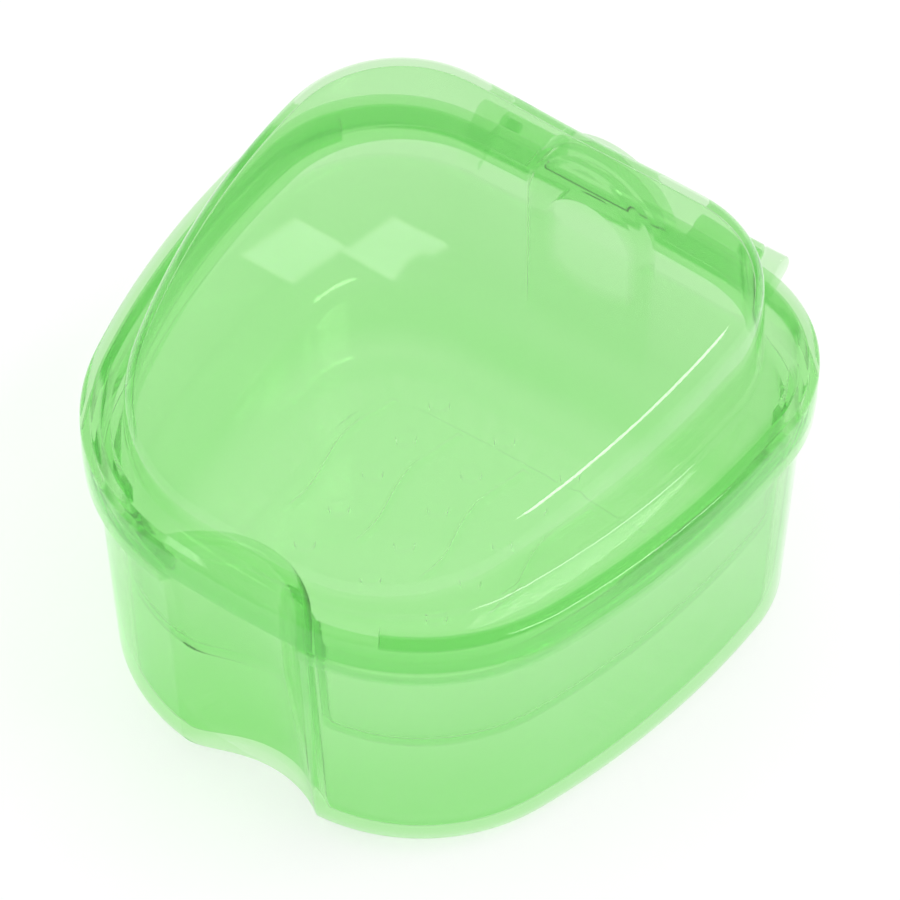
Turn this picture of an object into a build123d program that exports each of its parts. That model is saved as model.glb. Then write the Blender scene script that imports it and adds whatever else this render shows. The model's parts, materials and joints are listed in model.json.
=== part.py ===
from build123d import *
import math
import os

os.makedirs("parts", exist_ok=True)

# A retainer case: a drafted cup, a strainer basket hung inside it, and a domed lid on two hinge barrels.
# Lengths are in millimetres. The front, with the finger recess, faces -Y, and the hinge is at the back.

# Rim outline, made of four large arcs whose corners are rounded
rim_width = 90.0
rim_depth = 89.5
side_radius = 133.0
front_radius = 170.0
back_radius = 500.0
front_corner_radius = 32.0
back_corner_radius = 22.5
widest_behind_middle = 17.0

# Cup
cup_height = 49.0
cup_wall = 2.1
cup_floor = 1.8
cup_draft = 3.1
cup_bottom_radius = 6.0
collar_inset = 0.2
collar_height = 2.6
collar_step = 1.6
ledge_width = 1.2
ledge_drop = 10.4
foot_ring_width = 13.0
foot_panel_depth = 0.5
foot_panel_corner = 9.0

# Finger recess in the front of the cup
recess_radius = 12.5
recess_depth = 7.5
recess_edge_radius = 2.0

# Lid
lid_plate = 1.2
skirt_wall = 1.3
skirt_height = 5.4
skirt_top_radius = 0.8
lid_gap = 0.2
rib_thickness = 1.2
rib_height = 3.2
rib_front_half_gap = 21.0
rib_back_reach = 33.0
dome_height = 16.8
dome_wall = 1.2
dome_inset = 6.9
dome_front_inset = 4.8
dome_back_inset = 5.2
dome_back_corner = 19.5
dome_draft = 2.5
dome_edge_radius = 3.5
crown_radius = 325.0
crown_behind_middle = 39.0
dormer_radius = 11.8
dormer_height = 9.5
dormer_wall = 1.1
dormer_back_inset = 1.6
dormer_length = 9.0

# Hinge at the back
hinge_drop = 4.4
hinge_reach = 3.4
barrel_radius = 1.8
pin_radius = 0.9
pin_clearance = 0.08
pin_length = 2.6
pin_end_gap = 0.3
knuckle_length = 10.0
knuckle_outer_x = 21.5
ear_gap = 0.4
ear_length = 3.6
ear_root_radius = 0.9
web_thickness = 1.6

# Strainer basket
flange_gap = 0.3
flange_thickness = 1.2
basket_wall = 1.1
basket_gap = 0.3
basket_draft = 3.6
basket_height = 20.2
basket_bottom_radius = 6.1
drain_hole_radius = 1.5
drain_pitch_y = 7.8
drain_rows = 5
ridge_pitch = 11.2
ridge_width = 1.0
ridge_height = 0.8
ridge_length = 24.0
ridge_sway = 1.0
ridge_count = 4
ridge_behind_middle = 3.0

# Lifting handle of the basket
handle_thickness = 2.4
handle_clearance = 0.5
handle_strap = 3.2
handle_set_in = 4.8
hole_top_above_rim = 1.3
hole_bottom_below_rim = 17.5
hole_sag = 2.5

# Levels, from the underside up
rim_z = cup_height
plate_underside = rim_z - lid_plate
skirt_bottom = rim_z - skirt_height
collar_top = skirt_bottom - lid_gap
collar_bottom = collar_top - collar_height
ledge_z = rim_z - ledge_drop
basket_floor_z = ledge_z - basket_height
dome_top = rim_z + dome_height
hinge_z = rim_z - hinge_drop

# Places on the plan, whose middle is the middle of the rim's depth
front_y = -rim_depth / 2
back_y = rim_depth / 2
hinge_y = back_y + hinge_reach
plan_shift = (hinge_y + barrel_radius - back_y) / 2
recess_y = front_y + recess_depth - recess_radius
wall_inset = collar_inset + collar_step
well_inset = wall_inset + cup_wall
bore_inset = well_inset - ledge_width
lip_inset = skirt_wall + lid_gap
basket_inset = well_inset + basket_gap
dormer_axis_z = rim_z + dormer_height - dormer_radius
dormer_back_y = back_y - dormer_back_inset
handle_back_y = back_y - handle_set_in
handle_radius = dormer_radius - dormer_wall - handle_clearance
hole_half_width = handle_radius - handle_strap
knuckle_inner_x = knuckle_outer_x - knuckle_length
ear_inner_x = knuckle_outer_x + ear_gap


def disc(centre_x, centre_y, radius):
    """A flat disc on the plan."""
    return Pos(centre_x, centre_y) * Circle(radius)


def plan(inset, back_inset=None, back_corner=None, front_inset=None):
    """The rim outline moved inwards, with other distances or corners at the front and back when they are given."""
    front_inset = inset if front_inset is None else front_inset
    back_inset = inset if back_inset is None else back_inset
    back_corner = back_corner_radius - inset if back_corner is None else back_corner
    side_x = side_radius - rim_width / 2
    outline = disc(side_x, widest_behind_middle, side_radius - inset)
    outline &= disc(-side_x, widest_behind_middle, side_radius - inset)
    outline &= disc(0, front_y + front_radius, front_radius - front_inset)
    outline &= disc(0, back_y - back_radius, back_radius - back_inset)
    corners = outline.vertices().sort_by(Axis.Y)
    outline = fillet(corners[:2], front_corner_radius - inset)
    corners = outline.vertices().sort_by(Axis.Y)[-2:]
    return fillet(corners, back_corner)


def prism(face, bottom, top):
    """A straight-sided solid between two levels."""
    return extrude(Pos(0, 0, bottom) * face, top - bottom)


def drafted_down(face, top, bottom, draft):
    """A solid that narrows on its way down."""
    return extrude(Pos(0, 0, top) * face, top - bottom, dir=(0, 0, -1), taper=draft)


def recess_cutter(extra, bottom, top):
    """The finger recess as a solid, which widens downwards with the draft of the cup."""
    lean = math.tan(math.radians(cup_draft))
    low = Pos(0, recess_y, bottom) * Circle(recess_radius + extra + (collar_bottom - bottom) * lean)
    high = Pos(0, recess_y, top) * Circle(recess_radius + extra + (collar_bottom - top) * lean)
    return loft([low, high])


def level_edges(solid, level):
    """The edges of a solid that lie on one level."""
    flat = solid.edges().filter_by_position(Axis.Z, level - 0.01, level + 0.01)
    return [edge for edge in flat if edge.bounding_box().size.Z < 0.01]


def cup_body():
    """The outside of the cup: drafted wall, rounded bottom edge, finger recess, collar and lip."""
    wall = drafted_down(plan(wall_inset), collar_bottom, 0, cup_draft)
    wall = fillet(level_edges(wall, 0), cup_bottom_radius)
    wall -= recess_cutter(0, -1, collar_bottom + 1)
    rounded = [edge for edge in wall.edges() if runs_beside_recess(edge)]
    wall = fillet(rounded, recess_edge_radius)
    collar = prism(plan(collar_inset), collar_bottom, collar_top)
    lip = prism(plan(lip_inset), collar_top, plate_underside)
    return wall + ((collar + lip) - recess_cutter(0, -1, rim_z + 1))


def runs_beside_recess(edge):
    """True of the two edges where the recess leaves the wall, down to the underside."""
    box = edge.bounding_box()
    beside = abs(box.center().X) > recess_radius / 3 and abs(box.center().X) < recess_radius * 1.3
    return beside and box.size.Z > 1 and box.center().Y < recess_y + recess_radius * 0.9


def cup_space():
    """The inside of the cup: the bore down to the ledge, and the drafted well below it."""
    bore = prism(plan(bore_inset), ledge_z, rim_z)
    well = drafted_down(plan(well_inset), ledge_z, cup_floor, cup_draft)
    well = fillet(level_edges(well, cup_floor), cup_bottom_radius - cup_wall)
    return (bore + well) - recess_cutter(cup_wall, 0, rim_z + 1)


def foot_panel():
    """The shallow panel in the underside, inside the ring that the cup stands on."""
    inset = wall_inset + foot_ring_width
    outline = plan(inset, inset, foot_panel_corner)
    return prism(outline, -1, foot_panel_depth)


def ear(side):
    """One hinge ear of the cup, from the collar up to its barrel, with the pin moulded on its inner face."""
    barrel = Pos(hinge_y, hinge_z) * Circle(barrel_radius)
    root_y = back_y - wall_inset - cup_wall / 3
    root = Pos(root_y, collar_bottom - ear_root_radius) * Circle(ear_root_radius)
    profile = make_hull(barrel.edges() + root.edges())
    upright = extrude(across(ear_inner_x) * profile, ear_length)
    pin = extrude(across(ear_inner_x - pin_length) * Pos(hinge_y, hinge_z) * Circle(pin_radius), pin_length)
    ear_solid = upright + pin
    return ear_solid if side > 0 else mirror(ear_solid, Plane.YZ)


def across(x):
    """A plane square to the hinge, whose own axes are the depth and the height."""
    return Plane(origin=(x, 0, 0), x_dir=(0, 1, 0), z_dir=(1, 0, 0))


def base_cup():
    """The cup, with its ears."""
    cup = cup_body() - cup_space() - foot_panel()
    return cup + ear(1) + ear(-1)


def dormer(radius, start_y, end_y):
    """A barrel along the depth, above the lid's plate, that makes room for the basket's handle."""
    circle = Plane(origin=(0, start_y, 0), x_dir=(1, 0, 0), z_dir=(0, -1, 0)) * Pos(0, dormer_axis_z) * Circle(radius)
    barrel = extrude(circle, start_y - end_y)
    below = Pos(0, (start_y + end_y) / 2, plate_underside - radius) * Box(3 * radius, end_y - start_y + 2, 2 * radius)
    return barrel - below


def dome_plan(more):
    """The foot outline of the dome moved inwards."""
    return plan(dome_inset + more, dome_back_inset + more, dome_back_corner - more, dome_front_inset + more)


def dome(inset_more):
    """The drafted dome, or the space inside it. Its crowned top is highest near the back and has a round edge."""
    foot = dome_plan(inset_more)
    top = dome_plan(inset_more + (dome_height + lid_plate + 1) * math.tan(math.radians(dome_draft)))
    walls = loft([Pos(0, 0, plate_underside) * foot, Pos(0, 0, dome_top + 1) * top], ruled=True)
    crown_axis = Pos(crown_behind_middle, dome_top - crown_radius)
    crown = extrude(across(-rim_width / 2) * crown_axis * Circle(crown_radius - inset_more), rim_width)
    solid = walls & crown
    top_face = solid.faces().sort_by(Axis.Z)[-1]
    return fillet(top_face.edges(), dome_edge_radius - inset_more)


def knuckle(side):
    """One hinge barrel of the lid, its web to the skirt and the blind bore for the cup's pin."""
    barrel = extrude(across(knuckle_inner_x) * Pos(hinge_y, hinge_z) * Circle(barrel_radius), knuckle_length)
    web_depth = hinge_reach + skirt_wall / 2
    web_profile = Pos(hinge_y - web_depth / 2, hinge_z) * Rectangle(web_depth, web_thickness)
    web = extrude(across(knuckle_inner_x) * web_profile, knuckle_length)
    bore_start = ear_inner_x - pin_length - pin_end_gap
    bore_circle = Pos(hinge_y, hinge_z) * Circle(pin_radius + pin_clearance)
    bore = extrude(across(bore_start) * bore_circle, knuckle_outer_x - bore_start + 1)
    solid = barrel + web - bore
    return solid if side > 0 else mirror(solid, Plane.YZ)


def locating_ribs():
    """The two ribs under the plate that run along the inside of the lip, one on each side."""
    outer = bore_inset + lid_gap
    ring = plan(outer) - plan(outer + rib_thickness)
    ring -= Pos(0, front_y / 2) * Rectangle(2 * rib_front_half_gap, -front_y)
    ring -= Pos(0, rib_back_reach + back_y / 2) * Rectangle(rim_width, back_y)
    return prism(ring, plate_underside - rib_height, plate_underside)


def lid():
    """The lid: skirt and plate, dome with its dormer, ribs and hinge barrels."""
    cover = prism(plan(0), skirt_bottom, rim_z)
    cover = fillet(level_edges(cover, rim_z), skirt_top_radius)
    cover -= prism(plan(skirt_wall), skirt_bottom, plate_underside)
    start_y = dormer_back_y - dormer_length
    raised = dome(0) + dormer(dormer_radius, start_y, dormer_back_y)
    space = dome(dome_wall) + dormer(dormer_radius - dormer_wall, start_y, dormer_back_y - dormer_wall)
    shell = cover + raised - space
    return shell + locating_ribs() + knuckle(1) + knuckle(-1)


def basket_body(inset_more, top, bottom, edge_radius):
    """The drafted body of the basket, or the space inside it, going round the finger recess."""
    solid = drafted_down(plan(basket_inset + inset_more), top, bottom, basket_draft)
    solid = fillet(level_edges(solid, bottom), edge_radius)
    return solid - recess_cutter(cup_wall + basket_gap + inset_more, 0, rim_z + 1)


def handle_hole():
    """The finger hole of the handle: arched above, dished below, cut through handle, wall and flange."""
    arch_z = rim_z + hole_top_above_rim - hole_half_width
    sag_radius = (hole_half_width ** 2 + hole_sag ** 2) / (2 * hole_sag)
    low_z = rim_z - hole_bottom_below_rim
    side_z = low_z + hole_sag
    opening = Pos(0, arch_z) * Circle(hole_half_width)
    opening += Pos(0, (arch_z + side_z) / 2) * Rectangle(2 * hole_half_width, arch_z - side_z)
    dish = Pos(0, low_z + sag_radius) * Circle(sag_radius)
    dish &= Pos(0, low_z + hole_sag / 2) * Rectangle(2 * hole_half_width, hole_sag)
    return facing_back(opening + dish, handle_back_y - 2 * handle_thickness, back_y)


def facing_back(outline, start_y, end_y):
    """An outline drawn on the width and height, as a solid between two depths."""
    plane = Plane(origin=(0, start_y, 0), x_dir=(1, 0, 0), z_dir=(0, -1, 0))
    return extrude(plane * outline, start_y - end_y)


def handle():
    """The lifting handle: an arch whose legs run down the back wall to the floor of the basket."""
    leg_top = dormer_axis_z
    outline = Pos(0, leg_top) * Circle(handle_radius)
    leg_height = leg_top - basket_floor_z
    legs = Pos(0, leg_top - leg_height / 2) * Rectangle(2 * handle_radius, leg_height)
    return facing_back(outline + legs, handle_back_y - handle_thickness, handle_back_y)


def ridge(x):
    """One wavy ridge on the floor of the basket."""
    floor_z = basket_floor_z + basket_wall
    start_y = ridge_behind_middle - ridge_length / 2
    points = []
    for step in range(5):
        sway = ridge_sway * math.sin(step * math.pi / 2 + math.pi / 4)
        points.append((x + sway, start_y + ridge_length * step / 4))
    path = Spline(*points)
    return extrude(Pos(0, 0, floor_z) * trace(path, ridge_width), ridge_height)


def drain_holes():
    """The round holes in the floor of the basket, in rows between the ridges."""
    grid = GridLocations(ridge_pitch, drain_pitch_y, ridge_count - 1, drain_rows)
    holes = Sketch() + [spot * Circle(drain_hole_radius) for spot in grid]
    floor_top = basket_floor_z + basket_wall
    return prism(Pos(0, ridge_behind_middle) * holes, basket_floor_z - 1, floor_top + 1)


def strainer_basket():
    """The basket: flange on the cup's ledge, drafted body, drained floor with ridges, and the handle."""
    flange_top = ledge_z + flange_thickness
    flange = prism(plan(bore_inset + flange_gap), ledge_z, flange_top)
    flange -= recess_cutter(cup_wall + basket_gap, 0, rim_z + 1)
    outer = basket_body(0, ledge_z, basket_floor_z, basket_bottom_radius)
    inner_radius = basket_bottom_radius - basket_wall
    space = basket_body(basket_wall, flange_top, basket_floor_z + basket_wall, inner_radius)
    grip = handle()
    above = prism(plan(0), ledge_z, dome_top)
    grip &= outer + above
    basket = (flange + outer - space) + grip - handle_hole() - drain_holes()
    for number in range(ridge_count):
        basket += ridge((number - (ridge_count - 1) / 2) * ridge_pitch)
    return basket


def place(solid):
    """The solid in the part's own frame, whose origin is under the middle of the whole."""
    return Pos(0, -plan_shift, 0) * solid


export_step(place(base_cup()), "parts/base_cup.step")
export_step(place(lid()), "parts/lid.step")
export_step(place(strainer_basket()), "parts/strainer_basket.step")
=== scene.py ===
import json
import math

import bmesh
import bpy
import numpy as np
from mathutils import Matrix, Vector


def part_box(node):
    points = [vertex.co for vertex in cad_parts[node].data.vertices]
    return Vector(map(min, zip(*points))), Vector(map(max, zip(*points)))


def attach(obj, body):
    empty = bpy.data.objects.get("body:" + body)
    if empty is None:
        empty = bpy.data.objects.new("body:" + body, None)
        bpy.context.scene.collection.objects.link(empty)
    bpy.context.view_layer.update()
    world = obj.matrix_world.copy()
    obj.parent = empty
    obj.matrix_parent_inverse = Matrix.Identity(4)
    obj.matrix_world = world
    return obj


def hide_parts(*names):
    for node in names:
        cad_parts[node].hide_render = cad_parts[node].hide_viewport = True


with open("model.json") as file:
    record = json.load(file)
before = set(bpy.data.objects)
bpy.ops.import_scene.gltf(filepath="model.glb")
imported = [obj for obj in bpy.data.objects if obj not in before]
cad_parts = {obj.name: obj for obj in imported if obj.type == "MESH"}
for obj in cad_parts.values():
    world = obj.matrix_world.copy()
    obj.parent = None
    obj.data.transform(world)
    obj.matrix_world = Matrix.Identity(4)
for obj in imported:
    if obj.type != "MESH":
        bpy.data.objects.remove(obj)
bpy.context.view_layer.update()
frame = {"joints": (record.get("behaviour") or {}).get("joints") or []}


# The cup: one thin-walled moulding in milky green polypropylene. Its wall is drafted for the mould, its front
# has a finger recess, and its lip, collar and ledge carry the lid and the basket.

mm = 0.001
lid_low, lid_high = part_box("lid")
hinge_joint = frame["joints"][0]
hinge_y = hinge_joint["pos_m"][1] / mm
hinge_z = hinge_joint["pos_m"][2] / mm

rim_half_width = lid_high[0] / mm
front_y = lid_low[1] / mm
hinge_behind_rim = 3.4
back_y = hinge_y - hinge_behind_rim
middle_y = (front_y + back_y) / 2
dome_height = 16.8
rim_z = lid_high[2] / mm - dome_height
side_radius = 133.0
front_radius = 170.0
back_radius = 500.0
front_corner = 32.0
back_corner = 22.5
widest_y = middle_y + 17.0
arc_samples = 120


def meeting_point(first, second, corner):
    """The centre of a corner of that radius that runs smoothly into two circles, each (x, y, radius)."""
    (x1, y1, r1), (x2, y2, r2) = first, second
    r1, r2 = r1 - corner, r2 - corner
    apart = math.hypot(x2 - x1, y2 - y1)
    along = (r1 * r1 - r2 * r2 + apart * apart) / (2 * apart)
    across = math.sqrt(r1 * r1 - along * along)
    ux, uy = (x2 - x1) / apart, (y2 - y1) / apart
    ends = [(x1 + along * ux - s * across * uy, y1 + along * uy + s * across * ux) for s in (1, -1)]
    return max(ends)


def half_outline(inset, back_inset, corner, front_inset):
    """The right half of the rim outline moved inwards, from the front's middle to the back's middle."""
    front = (0.0, front_y + front_radius, front_radius - (front_inset - inset))
    side = (rim_half_width - side_radius, widest_y, side_radius)
    back = (0.0, back_y - back_radius, back_radius - (back_inset - inset))
    first = meeting_point(front, side, front_corner)
    second = meeting_point(side, back, corner)
    front_to_first = (first[0] - front[0], first[1] - front[1])
    side_to_first = (first[0] - side[0], first[1] - side[1])
    side_to_second = (second[0] - side[0], second[1] - side[1])
    back_to_second = (second[0] - back[0], second[1] - back[1])
    runs = [
        (front, (0, -1), front_to_first),
        ((*first, front_corner), front_to_first, side_to_first),
        (side, side_to_first, side_to_second),
        ((*second, corner), side_to_second, back_to_second),
        (back, back_to_second, (0, 1)),
    ]
    points = []
    for (x, y, radius), start, end in runs:
        first_turn = math.atan2(start[1], start[0])
        last_turn = math.atan2(end[1], end[0])
        turns = np.linspace(first_turn, last_turn, arc_samples)
        reach = radius - inset
        points.append(np.stack([x + reach * np.cos(turns), y + reach * np.sin(turns)], 1))
    return np.concatenate(points)


def station_angles(count):
    """Directions from the middle, spread evenly along the rim and closer beside the finger recess."""
    recess_reach = 17.0
    closeness = 3.5
    half = half_outline(0.0, 0.0, back_corner, 0.0)
    steps = np.hypot(*np.diff(half, axis=0).T)
    beside_recess = (half[1:, 0] < recess_reach) & (half[1:, 1] < middle_y)
    travelled = np.concatenate([[0], np.cumsum(steps * np.where(beside_recess, closeness, 1.0))])
    wanted = np.linspace(0, travelled[-1], count // 2 + 1)
    x = np.interp(wanted, travelled, half[:, 0])
    y = np.interp(wanted, travelled, half[:, 1]) - middle_y
    right = np.arctan2(x, -y)
    return np.concatenate([right, -right[-2:0:-1]])


rim_points = 560
angles = station_angles(rim_points)


def outline(inset, notch=None, back_inset=None, corner=back_corner, softness=1.0, front_inset=None):
    """The rim outline, a point for each direction. notch is the (y, radius) of a round bite at the front."""
    least_corner = 1.5
    past_rim = 60.0
    far_away = 200.0
    back_inset = inset if back_inset is None else back_inset
    front_inset = inset if front_inset is None else front_inset
    half = half_outline(inset, back_inset, max(corner, inset + least_corner), front_inset)
    turns = np.arctan2(half[:, 0], middle_y - half[:, 1])
    reach = np.interp(np.abs(angles), turns, np.hypot(half[:, 0], half[:, 1] - middle_y))
    if notch is not None:
        notch_y, radius = notch
        away = middle_y - notch_y
        side = away * np.cos(angles)
        inside = radius * radius - (away * np.sin(angles)) ** 2
        bite = np.where(inside > 0, side - np.sqrt(np.maximum(inside, 0)), side + past_rim)
        bite = np.where(side > 0, bite, far_away)
        gap = np.clip(0.5 + 0.5 * (bite - reach) / softness, 0, 1)
        reach = bite * (1 - gap) + reach * gap - softness * gap * (1 - gap)
    return np.stack([reach * np.sin(angles), middle_y - reach * np.cos(angles)], 1)


def rounded(stations):
    """Stations of (inset, z, notch growth, radius) as a line with a round turn at each inner station."""
    result = [stations[0][:3]]
    for before, here, after in zip(stations, stations[1:], stations[2:]):
        radius = here[3]
        p, q, r = (np.array(station[:3], float) for station in (before, here, after))
        into, out = p - q, r - q
        long_in, long_out = np.linalg.norm(into[:2]), np.linalg.norm(out[:2])
        bend = math.acos(float(np.clip(into[:2] @ out[:2] / (long_in * long_out), -1, 1)))
        trim = radius / math.tan(bend / 2)
        start, end = q + into * trim / long_in, q + out * trim / long_out
        weight = math.sin(bend / 2)
        steps = 5 + round(2.5 * radius)
        for t in np.linspace(0, 1, steps):
            a, b, c = (1 - t) ** 2, 2 * t * (1 - t) * weight, t * t
            result.append((a * start + b * q + c * end) / (a + b + c))
    result.append(stations[-1][:3])
    return result


def swept(name, rings, low_middle=None, high_middle=None):
    """A closed mesh through rings of (points, z or heights). Its two ends are closed round a middle point."""
    count = len(angles)
    vertices, faces = [], []
    for points, height in rings:
        heights = np.broadcast_to(height, (count,))
        vertices.extend((x * mm, y * mm, z * mm) for (x, y), z in zip(points, heights))
    for ring in range(len(rings) - 1):
        a, b = ring * count, (ring + 1) * count
        for i in range(count):
            j = (i + 1) % count
            faces.append((a + i, a + j, b + j, b + i))
    for ring, middle in ((0, low_middle), (len(rings) - 1, high_middle)):
        base, centre = ring * count, len(vertices)
        middle = np.mean(rings[ring][1]) if middle is None else middle
        vertices.append((0.0, middle_y * mm, middle * mm))
        for i in range(count):
            j = (i + 1) % count
            faces.append((centre, base + j, base + i) if ring == 0 else (centre, base + i, base + j))
    return as_object(name, vertices, faces)


def as_object(name, vertices, faces):
    """A new object whose faces all look outwards."""
    mesh = bpy.data.meshes.new(name)
    mesh.from_pydata(vertices, [], faces)
    work = bmesh.new()
    work.from_mesh(mesh)
    bmesh.ops.recalc_face_normals(work, faces=work.faces)
    work.to_mesh(mesh)
    work.free()
    obj = bpy.data.objects.new(name, mesh)
    bpy.context.scene.collection.objects.link(obj)
    return obj


def combine(obj, tool, operation):
    """Joins the tool to the object, or cuts it away, and takes the tool out of the scene."""
    modifier = obj.modifiers.new("shape", "BOOLEAN")
    modifier.operation = operation
    modifier.solver = "EXACT"
    modifier.object = tool
    graph = bpy.context.evaluated_depsgraph_get()
    shaped = bpy.data.meshes.new_from_object(obj.evaluated_get(graph))
    obj.modifiers.clear()
    obj.data = shaped
    bpy.data.objects.remove(tool)


def prism(outline_points, low, high, axis, rounding=0.0):
    """A bar with that outline between two places along an axis. Its outline lies in the other two axes."""
    work = bmesh.new()
    ends = []
    for place in (low, high):
        ring = []
        for u, v in outline_points:
            spot = {"X": (place, u, v), "Y": (u, place, v), "Z": (u, v, place)}[axis]
            ring.append(work.verts.new([value * mm for value in spot]))
        ends.append(ring)
    count = len(outline_points)
    for i in range(count):
        j = (i + 1) % count
        work.faces.new((ends[0][i], ends[0][j], ends[1][j], ends[1][i]))
    caps = [work.faces.new(ring) for ring in ends]
    bmesh.ops.recalc_face_normals(work, faces=work.faces)
    if rounding:
        edges = list(dict.fromkeys(edge for face in caps for edge in face.edges))
        bmesh.ops.bevel(work, geom=edges, offset=rounding * mm, segments=4, profile=0.5, affect="EDGES")
    mesh = bpy.data.meshes.new("bar")
    work.to_mesh(mesh)
    work.free()
    obj = bpy.data.objects.new("bar", mesh)
    bpy.context.scene.collection.objects.link(obj)
    return obj


def arc(u, v, radius, start, end, steps=48):
    """Points on an arc between two directions in degrees."""
    turns = np.radians(np.linspace(start, end, steps + 1))
    return [(u + radius * math.cos(t), v + radius * math.sin(t)) for t in turns]


def finish_mesh(obj):
    """Joins loose points, leaves real edges sharp and makes all other faces smooth."""
    weld = 2e-6
    sharp_angle = math.radians(35)
    work = bmesh.new()
    work.from_mesh(obj.data)
    bmesh.ops.remove_doubles(work, verts=work.verts, dist=weld)
    bmesh.ops.dissolve_degenerate(work, edges=work.edges, dist=weld)
    work.to_mesh(obj.data)
    work.free()
    obj.data.polygons.foreach_set("use_smooth", [True] * len(obj.data.polygons))
    obj.data.set_sharp_from_angle(angle=sharp_angle)


recess_radius = 12.5
recess_depth = 7.5
recess_y = front_y + recess_depth - recess_radius
cup_draft = math.tan(math.radians(3.1))
collar_bottom = rim_z - 8.2
wall_inset = 1.8
well_inset = 3.9
bore_inset = 2.7
cup_wall = 2.1
ledge_z = rim_z - 10.4
plate_z = rim_z - 1.2
skirt_z = rim_z - 5.4
collar_top = skirt_z - 0.2
cup_floor_z = 1.8
panel_inset = 14.8
panel_rise = 0.5
bottom_radius = 6.0
inner_bottom_radius = 3.9
collar_inset = 0.2
lip_inset = 1.5
hairline = 0.08


def cup_rings():
    """The cup as rings, from the middle of its underside up its outside, over the lip and down inside."""
    lean = collar_bottom * cup_draft
    inner_lean = (ledge_z - cup_floor_z) * cup_draft
    stations = [
        (panel_inset + 2.0, panel_rise, lean, 0),
        (panel_inset + 0.4, panel_rise, lean, 0.15),
        (panel_inset, 0.0, lean, 0.15),
        (wall_inset + lean, 0.0, lean, bottom_radius),
        (wall_inset, collar_bottom, 0, 0.3),
        (collar_inset, collar_bottom, 0, 0.3),
        (collar_inset, collar_top, 0, 0.25),
        (lip_inset, collar_top, 0, 0.2),
        (lip_inset, plate_z - hairline, 0, 0.3),
        (bore_inset, plate_z - hairline, cup_wall, 0.3),
        (bore_inset, ledge_z, cup_wall, 0.2),
        (well_inset, ledge_z, cup_wall, 0.3),
        (well_inset + inner_lean, cup_floor_z, cup_wall + inner_lean, inner_bottom_radius),
        (well_inset + inner_lean + 14.0, cup_floor_z, cup_wall + lean, 0),
    ]
    rings = []
    for inset, z, growth in rounded(stations):
        notch = (recess_y, recess_radius + growth)
        rings.append((outline(inset, notch, corner=max(back_corner, min(inset, panel_inset) + 9.0)), z))
    return rings


barrel_radius = 1.8
pin_radius = 0.9
pin_length = 2.6
ear_inner_x = 21.9
ear_width = 3.6
ear_root = (back_y - wall_inset - cup_wall / 3, collar_bottom - 0.9, 0.9)


def ear(side):
    """One hinge ear: an arm from the wall to its round end, with the pin that turns in the lid's barrel."""
    y, z, radius = ear_root
    climb = math.degrees(math.atan2(hinge_z - z, hinge_y - y))
    spread = math.degrees(math.asin((barrel_radius - radius) / math.hypot(hinge_z - z, hinge_y - y)))
    round_end = arc(hinge_y, hinge_z, barrel_radius, climb - 90 - spread, climb + 90 + spread, 28)
    root_end = arc(y, z, radius, climb + 90 + spread, climb + 270 - spread, 16)
    arm = prism(round_end + root_end, side * ear_inner_x, side * (ear_inner_x + ear_width), "X", 0.25)
    pin_end = side * (ear_inner_x - pin_length)
    pin_circle = arc(hinge_y, hinge_z, pin_radius, 0, 345, 23)
    pin = prism(pin_circle, pin_end, side * (ear_inner_x + 0.5), "X", 0.2)
    combine(arm, pin, "UNION")
    return arm


cup = swept("cup_moulding", cup_rings())
combine(cup, ear(1), "UNION")
combine(cup, ear(-1), "UNION")
finish_mesh(cup)


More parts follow.
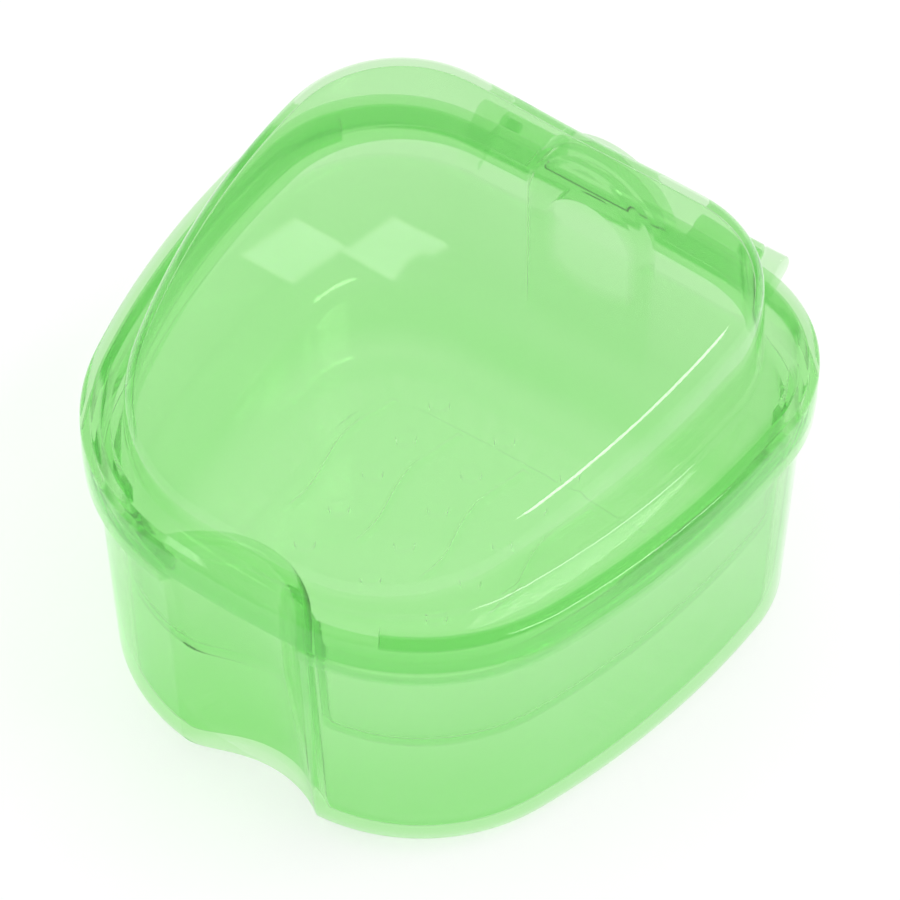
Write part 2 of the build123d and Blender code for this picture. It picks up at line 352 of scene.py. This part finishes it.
def green_plastic(name, painted_shade_depths, per_mm, ior):
    """Milky green polypropylene with a gloss skin, whose tint is given as depths of green.

    The surface tint has a depth of its own at each of a few heights in mm. This change with height is painted
    light and shade:
    deeper where shade falls, thinner where light falls. The plastic between the surfaces adds a depth for
    each mm that light crosses.
    """
    absorbed = np.array([0.687, 0.14, 0.83])
    ramp_top = 70
    material = bpy.data.materials.new(name)
    material.use_nodes = True
    tree = material.node_tree
    tree.nodes.clear()
    output = tree.nodes.new("ShaderNodeOutputMaterial")
    body = tree.nodes.new("ShaderNodeBsdfPrincipled")
    body.inputs["IOR"].default_value = ior
    body.inputs["Transmission Weight"].default_value = 0.97
    body.inputs["Coat Roughness"].default_value = 0.03
    body.inputs["Coat IOR"].default_value = 1.49

    place = tree.nodes.new("ShaderNodeTexCoord")
    split = tree.nodes.new("ShaderNodeSeparateXYZ")
    tree.links.new(place.outputs["Object"], split.inputs["Vector"])
    height = tree.nodes.new("ShaderNodeMapRange")
    height.inputs["From Max"].default_value = ramp_top * mm
    tree.links.new(split.outputs["Z"], height.inputs["Value"])
    # Painted light and shade: a colour ramp on height deepens the tint where shade falls and thins it where
    # light falls.
    shade_ramp = tree.nodes.new("ShaderNodeValToRGB")
    while len(shade_ramp.color_ramp.elements) < len(painted_shade_depths):
        shade_ramp.color_ramp.elements.new(1.0)
    for element, (level, depth) in zip(shade_ramp.color_ramp.elements, painted_shade_depths):
        element.position = level / ramp_top
        element.color = (*np.exp(-absorbed * depth), 1)
    tree.links.new(height.outputs["Result"], shade_ramp.inputs["Fac"])
    tree.links.new(shade_ramp.outputs["Color"], body.inputs["Base Color"])

    cloud = tree.nodes.new("ShaderNodeTexNoise")
    cloud.inputs["Scale"].default_value = 90.0
    tree.links.new(place.outputs["Object"], cloud.inputs["Vector"])
    haze = tree.nodes.new("ShaderNodeMapRange")
    haze.inputs["To Min"].default_value = 0.08
    haze.inputs["To Max"].default_value = 0.16
    tree.links.new(cloud.outputs["Fac"], haze.inputs["Value"])
    tree.links.new(haze.outputs["Result"], body.inputs["Roughness"])

    side = tree.nodes.new("ShaderNodeNewGeometry")
    outer_skin = tree.nodes.new("ShaderNodeMath")
    outer_skin.operation = "SUBTRACT"
    outer_skin.inputs[0].default_value = 1.0
    tree.links.new(side.outputs["Backfacing"], outer_skin.inputs[1])
    tree.links.new(outer_skin.outputs["Value"], body.inputs["Coat Weight"])

    clear = tree.nodes.new("ShaderNodeBsdfTransparent")
    clear.inputs["Color"].default_value = (0.81, 0.95, 0.78, 1)
    path = tree.nodes.new("ShaderNodeLightPath")
    lamp_mix = tree.nodes.new("ShaderNodeMixShader")
    tree.links.new(path.outputs["Is Shadow Ray"], lamp_mix.inputs["Fac"])
    tree.links.new(body.outputs["BSDF"], lamp_mix.inputs[1])
    tree.links.new(clear.outputs["BSDF"], lamp_mix.inputs[2])
    tree.links.new(lamp_mix.outputs["Shader"], output.inputs["Surface"])
    tint = tree.nodes.new("ShaderNodeVolumeAbsorption")
    tint.inputs["Color"].default_value = (*(1 - absorbed), 1)
    tint.inputs["Density"].default_value = per_mm / mm
    tree.links.new(tint.outputs["Volume"], output.inputs["Volume"])
    return material


# Painted shade: the tint is deepest just above the floor, low on the wall where the floor beneath lies in
# shade, and thinner towards the rim, which is painted lighter.
cup_painted_shade = [(2.6, 0.74), (5.0, 0.96), (18.0, 0.80), (38.0, 0.48)]
cup.data.materials.append(green_plastic("cup_polypropylene", cup_painted_shade, 0.05, 1.02))
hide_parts("base_cup")
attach(cup, "base")


# The strainer basket: a second, thinner moulding of the same plastic, which hangs loose by its flange on
# the cup's ledge. Its floor has drain holes and wavy ridges, and its lifting handle with the finger hole
# is moulded on its back wall.

basket_floor = ledge_z - 20.2
basket_inset = 4.2
basket_wall = 1.1
basket_radius = 6.1
basket_inner_radius = 5.0
flange_inset = 3.0
recess_gap = 0.3
basket_draft = math.tan(math.radians(3.6))
basket_lean = (ledge_z - basket_floor) * basket_draft
growth_low = cup_wall + recess_gap + (collar_bottom - basket_floor) * cup_draft
growth_high = cup_wall + recess_gap + (collar_bottom - ledge_z) * cup_draft
inner_inset = basket_inset + basket_wall
inner_floor = basket_floor + basket_wall


def basket_rings(stations):
    """Rings of the basket, which all go round the finger recess."""
    return [(outline(inset, (recess_y, recess_radius + growth)), z) for inset, z, growth in rounded(stations)]


basket_top = ledge_z + 1.2
basket = swept("basket_moulding", basket_rings([
    (basket_inset + basket_lean + 9.0, basket_floor, growth_low, 0),
    (basket_inset + basket_lean, basket_floor, growth_low, basket_radius),
    (basket_inset, ledge_z + hairline, growth_high, 0.2),
    (flange_inset, ledge_z + hairline, growth_high, 0.3),
    (flange_inset, basket_top, growth_high, 0.4),
    (inner_inset, basket_top, growth_high + basket_wall, 0.4),
    (inner_inset + basket_lean, inner_floor, growth_low + basket_wall, basket_inner_radius),
    (inner_inset + basket_lean + 8.0, inner_floor, growth_low + basket_wall, 0),
]))

handle_thickness = 2.4
handle_back = back_y - 4.8
handle_front = handle_back - handle_thickness
handle_radius = 10.2
dormer_radius = 11.8
handle_axis_z = rim_z + 9.5 - dormer_radius


def handle():
    """The lifting handle: an arch whose legs run down the back wall, trimmed to the basket's outside."""
    clear = 0.01
    legs = [(-handle_radius, basket_floor), (handle_radius, basket_floor)]
    arch_outline = arc(0, handle_axis_z, handle_radius, 0, 180) + legs
    arch = prism(arch_outline, handle_front, handle_back, "Y", 0.5)
    keep = swept("keep", basket_rings([
        (basket_inset + basket_lean + 9.0, basket_floor + clear, growth_low, 0),
        (basket_inset + basket_lean, basket_floor + clear, growth_low, basket_radius),
        (basket_inset + clear, ledge_z, growth_high, 0.2),
        (basket_inset + clear, rim_z + 20, growth_high, 0),
    ]))
    combine(arch, keep, "INTERSECT")
    return arch


def finger_hole():
    """The finger hole: arched above, dished below."""
    half_width = 7.0
    arch_z = rim_z + 1.3 - half_width
    sag = 2.5
    low_z = rim_z - 17.5
    sag_radius = (half_width ** 2 + sag ** 2) / (2 * sag)
    half_turn = math.degrees(math.asin(half_width / sag_radius))
    dish = arc(0, low_z + sag_radius, sag_radius, 270 - half_turn, 270 + half_turn)
    points = arc(0, arch_z, half_width, 0, 180) + dish
    return prism(points, handle_front - handle_thickness, back_y, "Y")


combine(basket, handle(), "UNION")
combine(basket, finger_hole(), "DIFFERENCE")

ridge_pitch = 11.2
row_pitch = 7.8
drain_radius = 1.5
floor_middle_y = middle_y + 3.0
for column in (-1, 0, 1):
    for row in range(-2, 3):
        hole = arc(column * ridge_pitch, floor_middle_y + row * row_pitch, drain_radius, 0, 345, 23)
        combine(basket, prism(hole, basket_floor - 1, basket_floor + 3, "Z"), "DIFFERENCE")


def ridge(x):
    """One wavy ridge, as wide at its ends as in its middle."""
    half_length = 12
    half_width = 0.5
    height = 0.8
    along = np.linspace(-half_length, half_length, 41)
    sway = 1.0 * np.sin((along + half_length) / (2 * half_length) * 2 * math.pi + math.pi / 4)
    left = [(x + s - half_width, floor_middle_y + a) for s, a in zip(sway, along)]
    right = [(x + s + half_width, floor_middle_y + a) for s, a in zip(sway, along)]
    return prism(right + left[::-1], inner_floor - 0.3, inner_floor + height, "Z", 0.25)


for place in (-1.5, -0.5, 0.5, 1.5):
    combine(basket, ridge(place * ridge_pitch), "UNION")
finish_mesh(basket)
# Painted light: no tint on the floor and lower wall, which are lit from above, and a slightly deeper tint
# near the flange.
basket_painted_light = [(29.0, 0.0), (44.0, 0.06)]
basket.data.materials.append(green_plastic("basket_polypropylene", basket_painted_light, 0.06, 1.05))
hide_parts("strainer_basket")
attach(basket, "base")


# The lid: one moulding of the same plastic, whose skirt goes over the cup's lip and whose two barrels turn
# on the cup's pins. Its dome rises from front to back, a small barrel behind it makes room for the handle,
# and two ribs inside the skirt hold it square on the cup.

dome_inset = 6.9
dome_front_inset = 4.1
dome_back_inset = 5.2
dome_corner = 19.5 + dome_inset
dome_draft = math.radians(2.5)
dome_edge = 3.5
dome_wall = 1.2
crown_radius = 325.0
crown_y = middle_y + 39.0
dip_depth = 2.0
dip_half_width = 15.0
dip_length = 24.0


def crown_z(points, more):
    """The height of the crowned top with its dip at the back, or of its underside if more is the wall."""
    reach = crown_radius - more
    near_back = np.clip((points[:, 1] - back_y + dip_length) / dip_length, 0, 1)
    dip = dip_depth * np.exp(-(points[:, 0] / dip_half_width) ** 2) * near_back ** 2
    crown = np.sqrt(reach * reach - (points[:, 1] - crown_y) ** 2)
    return rim_z + dome_height - crown_radius + crown - dip


def dome_outline(more, inset):
    """The dome's foot outline moved inwards by an inset that may differ from place to place."""
    span = 5.0
    near, far = [outline(
        dome_inset + extra,
        back_inset=dome_back_inset + extra,
        front_inset=dome_front_inset + extra,
        corner=dome_corner,
    ) for extra in (more, more + span)]
    return near + (far - near) * (np.reshape(inset, (-1, 1)) / span)


def dome_rings(more, start_z):
    """The dome's drafted wall from a level upwards, its round edge and its crowned top."""
    lean = math.tan(dome_draft)
    edge = dome_edge - more
    rings = [(dome_outline(more, (start_z - plate_z) * lean), start_z)]
    top = crown_z(rings[0][0], more)
    middle_inset = (top - edge - plate_z) * lean + edge / math.cos(dome_draft)
    edge_steps = 9
    for turn in np.linspace(dome_draft, math.pi / 2, edge_steps):
        points = dome_outline(more, middle_inset - edge * math.cos(turn))
        rings.append((points, crown_z(points, more) - edge + edge * math.sin(turn)))
    last = rings[-1][0]
    for share in (0.05, 0.11, 0.18, 0.26, 0.36, 0.48, 0.64, 0.82):
        points = last * (1 - share) + np.array([0.0, middle_y]) * share
        rings.append((points, crown_z(points, more)))
    return rings


def dome_middle(more):
    """The height of the dome's very middle."""
    return float(crown_z(np.array([[0.0, middle_y]]), more)[0])


def lid_outside():
    """The lid's outside as a full body: skirt, plate and dome."""
    stations = [
        (8.0, skirt_z, 0, 0),
        (0.0, skirt_z, 0, 0.3),
        (0.0, rim_z, 0, 0.8),
        (dome_inset + 0.1, rim_z, 0, 0.9),
        (dome_inset + 0.3, rim_z + 3.0, 0, 0),
    ]
    rings = []
    blend_start = 2.0
    for inset, z, _ in rounded(stations)[:-1]:
        share = min(1.0, max(0.0, (inset - blend_start) / (dome_inset - blend_start)))
        back = inset - (dome_inset - dome_back_inset) * share
        front = inset - (dome_inset - dome_front_inset) * share
        corner = back_corner + (dome_corner - back_corner) * share
        rings.append((outline(inset, back_inset=back, front_inset=front, corner=corner), z))
    rings += dome_rings(0.0, rim_z + 1.2)
    return swept("lid_moulding", rings, high_middle=dome_middle(0.0))


def dormer(radius, start, end):
    """The small barrel behind the dome, down to the plate."""
    half_turn = math.degrees(math.acos(min(1.0, (handle_axis_z - plate_z + 0.4) / radius)))
    points = arc(0, handle_axis_z, radius, 270 + half_turn, 270 + 360 - half_turn, 72)
    return prism(points, start, end, "Y", 0.6)


dormer_back = back_y - 1.6
dormer_front = dormer_back - 9.0
dormer_wall = 1.1
skirt_wall = 1.3
lid = lid_outside()
combine(lid, dormer(dormer_radius, dormer_front, dormer_back), "UNION")
under_plate = [(outline(skirt_wall), skirt_z - 1.0), (outline(skirt_wall), plate_z)]
combine(lid, swept("hollow", under_plate), "DIFFERENCE")
under_dome = dome_rings(dome_wall, plate_z - 1.0)
combine(lid, swept("hollow", under_dome, high_middle=dome_middle(dome_wall)), "DIFFERENCE")
combine(lid, dormer(dormer_radius - dormer_wall, dormer_front, dormer_back - dormer_wall), "DIFFERENCE")


def rib(side):
    """One locating rib, along the inside of the cup's lip on one side."""
    outer_inset, inner_inset = 2.9, 4.1
    front_end_x = 21.0
    back_end_y = middle_y + 33.0
    depth = 3.2
    outer, inner = outline(outer_inset), outline(inner_inset)
    along = (side * outer[:, 0] > 0) & (outer[:, 1] < back_end_y)
    along &= (side * outer[:, 0] > front_end_x) | (outer[:, 1] > middle_y)
    order = np.argsort(outer[along][:, 1])
    points = [tuple(p) for p in outer[along][order]] + [tuple(p) for p in inner[along][order][::-1]]
    return prism(points, plate_z - depth, plate_z + 0.4, "Z", 0.2)


def knuckle(side):
    """One hinge barrel with its web to the skirt and the blind bore for the cup's pin."""
    inner_x, outer_x = 11.5, 21.5
    web_length, web_half, web_back = 4.0, 0.8, 0.02
    bore_radius = 0.98
    bore_x = ear_inner_x - 2.9
    circle = arc(hinge_y, hinge_z, barrel_radius, 0, 352.5, 47)
    barrel = prism(circle, side * inner_x, side * outer_x, "X", 0.25)
    near_y, low_z, high_z = hinge_y - web_length, hinge_z - web_half, hinge_z + web_half
    web = [(near_y, low_z), (hinge_y, low_z), (hinge_y, high_z), (near_y, high_z)]
    web_bar = prism(web, side * (inner_x + web_back), side * (outer_x - web_back), "X", 0.2)
    combine(barrel, web_bar, "UNION")
    bore = prism(arc(hinge_y, hinge_z, bore_radius, 0, 345, 23), side * bore_x, side * (outer_x + 1), "X")
    combine(barrel, bore, "DIFFERENCE")
    return barrel


for side in (1, -1):
    combine(lid, rib(side), "UNION")
    combine(lid, knuckle(side), "UNION")
finish_mesh(lid)
# Painted light and shade: the skirt gets a deeper tint, as a side in shade, and the top a thinner one, as lit
# from above.
lid_painted_shade = [(46.0, 0.92), (49.0, 0.46)]
lid.data.materials.append(green_plastic("lid_polypropylene", lid_painted_shade, 0.05, 1.02))
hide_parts("lid")
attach(lid, "lid")


# The studio: a plain pale floor in soft even light. Two small windows shine back from the dome's crown, and
# one bright strip draws the streak along its round edge. The camera looks down on the case's front right.

def white_floor():
    """A white floor with a faint shadow to the camera, plain white through the plastic."""
    material = bpy.data.materials.new("studio_floor")
    material.use_nodes = True
    tree = material.node_tree
    tree.nodes.clear()
    output = tree.nodes.new("ShaderNodeOutputMaterial")
    paint = tree.nodes.new("ShaderNodeBsdfDiffuse")
    paint.inputs["Color"].default_value = (0.95, 0.95, 0.95, 1)
    glow = tree.nodes.new("ShaderNodeEmission")
    glow.inputs["Color"].default_value = (1, 1, 1, 1)
    path = tree.nodes.new("ShaderNodeLightPath")
    direct = tree.nodes.new("ShaderNodeMath")
    direct.operation = "MULTIPLY"
    direct.inputs[1].default_value = 0.65
    seen = tree.nodes.new("ShaderNodeMath")
    seen.operation = "MAXIMUM"
    mix = tree.nodes.new("ShaderNodeMixShader")
    tree.links.new(path.outputs["Is Camera Ray"], direct.inputs[0])
    tree.links.new(direct.outputs["Value"], seen.inputs[0])
    tree.links.new(path.outputs["Is Transmission Ray"], seen.inputs[1])
    tree.links.new(seen.outputs[0], mix.inputs["Fac"])
    tree.links.new(paint.outputs["BSDF"], mix.inputs[1])
    tree.links.new(glow.outputs["Emission"], mix.inputs[2])
    tree.links.new(mix.outputs["Shader"], output.inputs["Surface"])
    return material


def studio_world():
    """Soft even light, and white where the camera or the plastic looks past the floor."""
    world = bpy.data.worlds.new("studio_world")
    bpy.context.scene.world = world
    world.use_nodes = True
    tree = world.node_tree
    tree.nodes.clear()
    output = tree.nodes.new("ShaderNodeOutputWorld")
    path = tree.nodes.new("ShaderNodeLightPath")
    even_light, mirrored_light, white = 1.0, 0.6, 1.0
    shares = []
    for strength in (even_light, mirrored_light, white):
        share = tree.nodes.new("ShaderNodeBackground")
        share.inputs["Color"].default_value = (1, 1, 1, 1)
        share.inputs["Strength"].default_value = strength
        shares.append(share)
    mirrored = tree.nodes.new("ShaderNodeMixShader")
    tree.links.new(path.outputs["Is Glossy Ray"], mirrored.inputs["Fac"])
    tree.links.new(shares[0].outputs["Background"], mirrored.inputs[1])
    tree.links.new(shares[1].outputs["Background"], mirrored.inputs[2])
    seen = tree.nodes.new("ShaderNodeMath")
    seen.operation = "MAXIMUM"
    mix = tree.nodes.new("ShaderNodeMixShader")
    tree.links.new(path.outputs["Is Camera Ray"], seen.inputs[0])
    tree.links.new(path.outputs["Is Transmission Ray"], seen.inputs[1])
    tree.links.new(seen.outputs[0], mix.inputs["Fac"])
    tree.links.new(mirrored.outputs["Shader"], mix.inputs[1])
    tree.links.new(shares[2].outputs["Background"], mix.inputs[2])
    tree.links.new(mix.outputs["Shader"], output.inputs["Surface"])


floor_mesh = bpy.data.meshes.new("studio_floor")
half = 3.0
floor_corners = [(-half, -half, 0), (half, -half, 0), (half, half, 0), (-half, half, 0)]
floor_mesh.from_pydata(floor_corners, [], [(0, 1, 2, 3)])
floor = bpy.data.objects.new("studio_floor", floor_mesh)
bpy.context.scene.collection.objects.link(floor)
floor_mesh.materials.append(white_floor())
studio_world()

azimuth = math.radians(36.2)
elevation = math.radians(49.15)
distance = 1.0
level = math.cos(elevation)
back = Vector((math.sin(azimuth) * level, -math.cos(azimuth) * level, math.sin(elevation)))
right = Vector((math.cos(azimuth), math.sin(azimuth), 0))
up = back.cross(right)
target = Vector((0, (middle_y - 0.25) * mm, rim_z * mm))
picture_size = 900
half_picture = picture_size / 2
pixels_per_metre = 7430.0
centre_x, centre_y = 423.4, 379.0
shift_x = (half_picture - centre_x) / pixels_per_metre
shift_y = (half_picture - centre_y) / pixels_per_metre
offset = right * shift_x - up * shift_y
camera_data = bpy.data.cameras.new("camera")
camera_data.sensor_width = 36.0
camera_data.lens = pixels_per_metre * distance / picture_size * camera_data.sensor_width
camera_data.clip_end = 20.0
camera = bpy.data.objects.new("camera", camera_data)
bpy.context.scene.collection.objects.link(camera)
camera.rotation_euler = back.to_track_quat("Z", "Y").to_euler()
camera.location = target + back * distance + offset
bpy.context.scene.camera = camera


def soft_box(name, spot, direction, distance_away, width, height, brightness):
    """A level soft box, seen from a spot of the case in a direction. A brightness of 1 is that of white."""
    data = bpy.data.lights.new(name, "AREA")
    data.shape = "RECTANGLE"
    data.size = width
    data.size_y = height
    data.energy = brightness * math.pi * width * height
    lamp = bpy.data.objects.new(name, data)
    bpy.context.scene.collection.objects.link(lamp)
    lamp.location = Vector(spot) * mm + Vector(direction).normalized() * distance_away


crown_spot = (-12.5, 4.4, 63.0)
edge_spot = (30.0, -10.0, 62.0)
soft_box("window_left", crown_spot, (-0.431, 0.312, 0.850), 0.5, 0.013, 0.040, 2.6)
soft_box("window_right", crown_spot, (-0.404, 0.382, 0.850), 0.5, 0.013, 0.040, 2.6)
soft_box("edge_strip", edge_spot, (0.46, 0.25, 0.80), 1.0, 0.20, 0.60, 11.0)

cycles = bpy.context.scene.cycles
cycles.max_bounces = 32
cycles.transmission_bounces = 32
cycles.glossy_bounces = 8
cycles.diffuse_bounces = 6
bpy.context.scene.view_settings.view_transform = "Standard"
